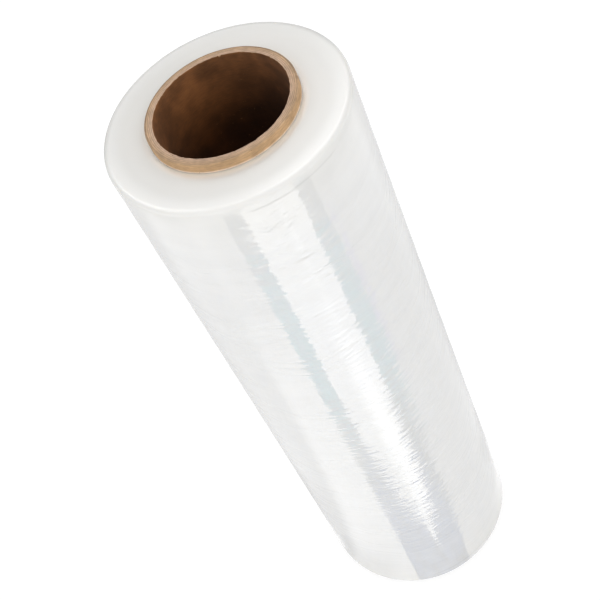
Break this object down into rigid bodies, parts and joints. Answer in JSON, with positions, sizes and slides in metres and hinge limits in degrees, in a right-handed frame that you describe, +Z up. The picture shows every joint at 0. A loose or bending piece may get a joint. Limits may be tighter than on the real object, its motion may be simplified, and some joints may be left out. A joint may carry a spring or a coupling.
{
  "type": "stretch wrap roll",
  "caption": "Clear stretch film wound on a cardboard core that stands a little proud of the film at each end.",
  "frame": {"origin": "centre of the lower end of the core, on which the roll stands", "axes": "+Z up the core, +X and +Y across it, with the film's free edge 105 degrees round from +X"},
  "size_m": [0.1396, 0.1397, 0.462],
  "materials": {
    "core_board": "matte",
    "film": "gloss"
  },
  "bodies": {
    "root": {"core": "core_board", "film_roll": "film"}
  },
  "joints": []
}
